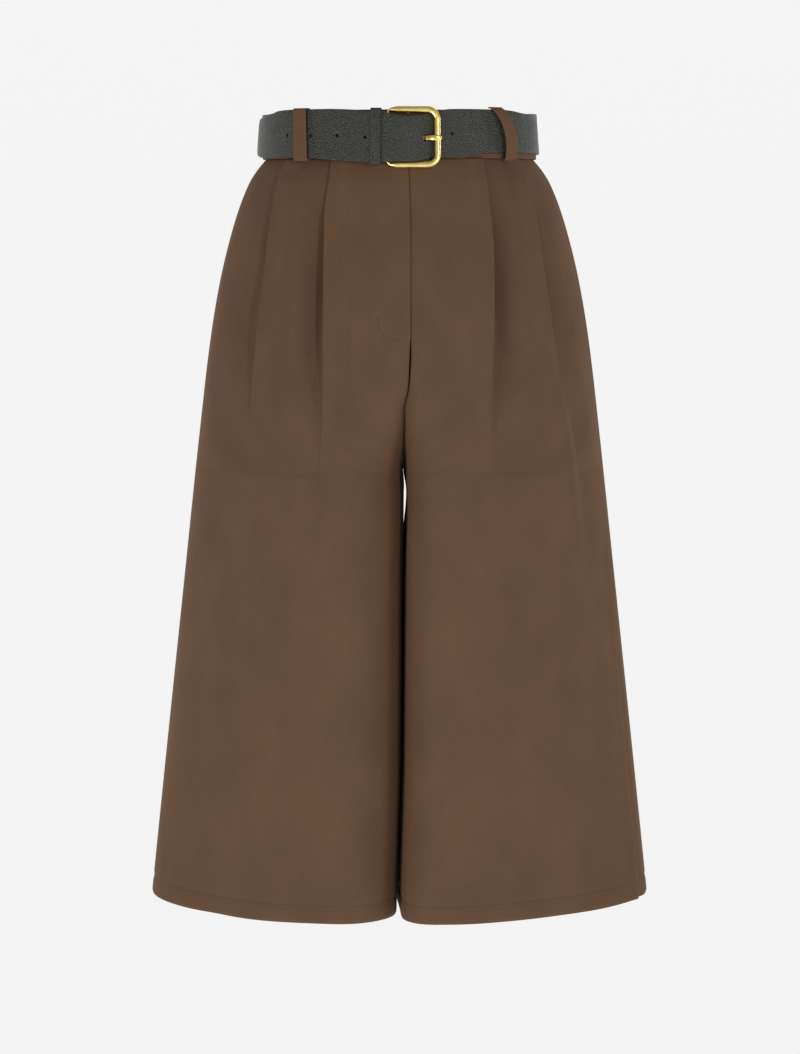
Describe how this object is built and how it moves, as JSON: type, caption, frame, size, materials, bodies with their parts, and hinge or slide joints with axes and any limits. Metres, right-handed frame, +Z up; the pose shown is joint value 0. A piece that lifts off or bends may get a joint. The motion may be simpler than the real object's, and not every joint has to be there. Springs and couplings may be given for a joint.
{
  "type": "capri pants",
  "caption": "High-waisted wide-leg capri trousers with front knife pleats, a fly and turned-up hems, filled out as worn, with their own buckled leather belt in cloth loops.",
  "frame": {"origin": "the middle of the waist, level with the waistband's top edge, where the wearer holds the trousers up", "axes": "+Z up, along the trousers' length; the front faces -Y; +X is the wearer's left"},
  "size_m": [0.4488, 0.2349, 0.7154],
  "materials": {
    "cloth": "warm brown brushed twill, matte with a soft nap",
    "leather": "dark grey pebbled leather, half matte, with edges a little lighter",
    "brass": "brushed gold-coloured brass",
    "zip": "matte woven zip tape in the cloth's colour"
  },
  "bodies": {
    "root": {"front_right": "cloth", "front_left": "cloth", "back_right": "cloth", "back_left": "cloth", "waistband": "cloth", "belt_loop_1": "cloth", "belt_loop_2": "cloth", "belt_loop_3": "cloth", "belt_loop_4": "cloth", "belt_loop_5": "cloth", "fly_zip": "zip", "belt_strap": "leather", "belt_keeper": "leather", "buckle_frame": "brass", "buckle_prong": "brass"}
  },
  "joints": []
}
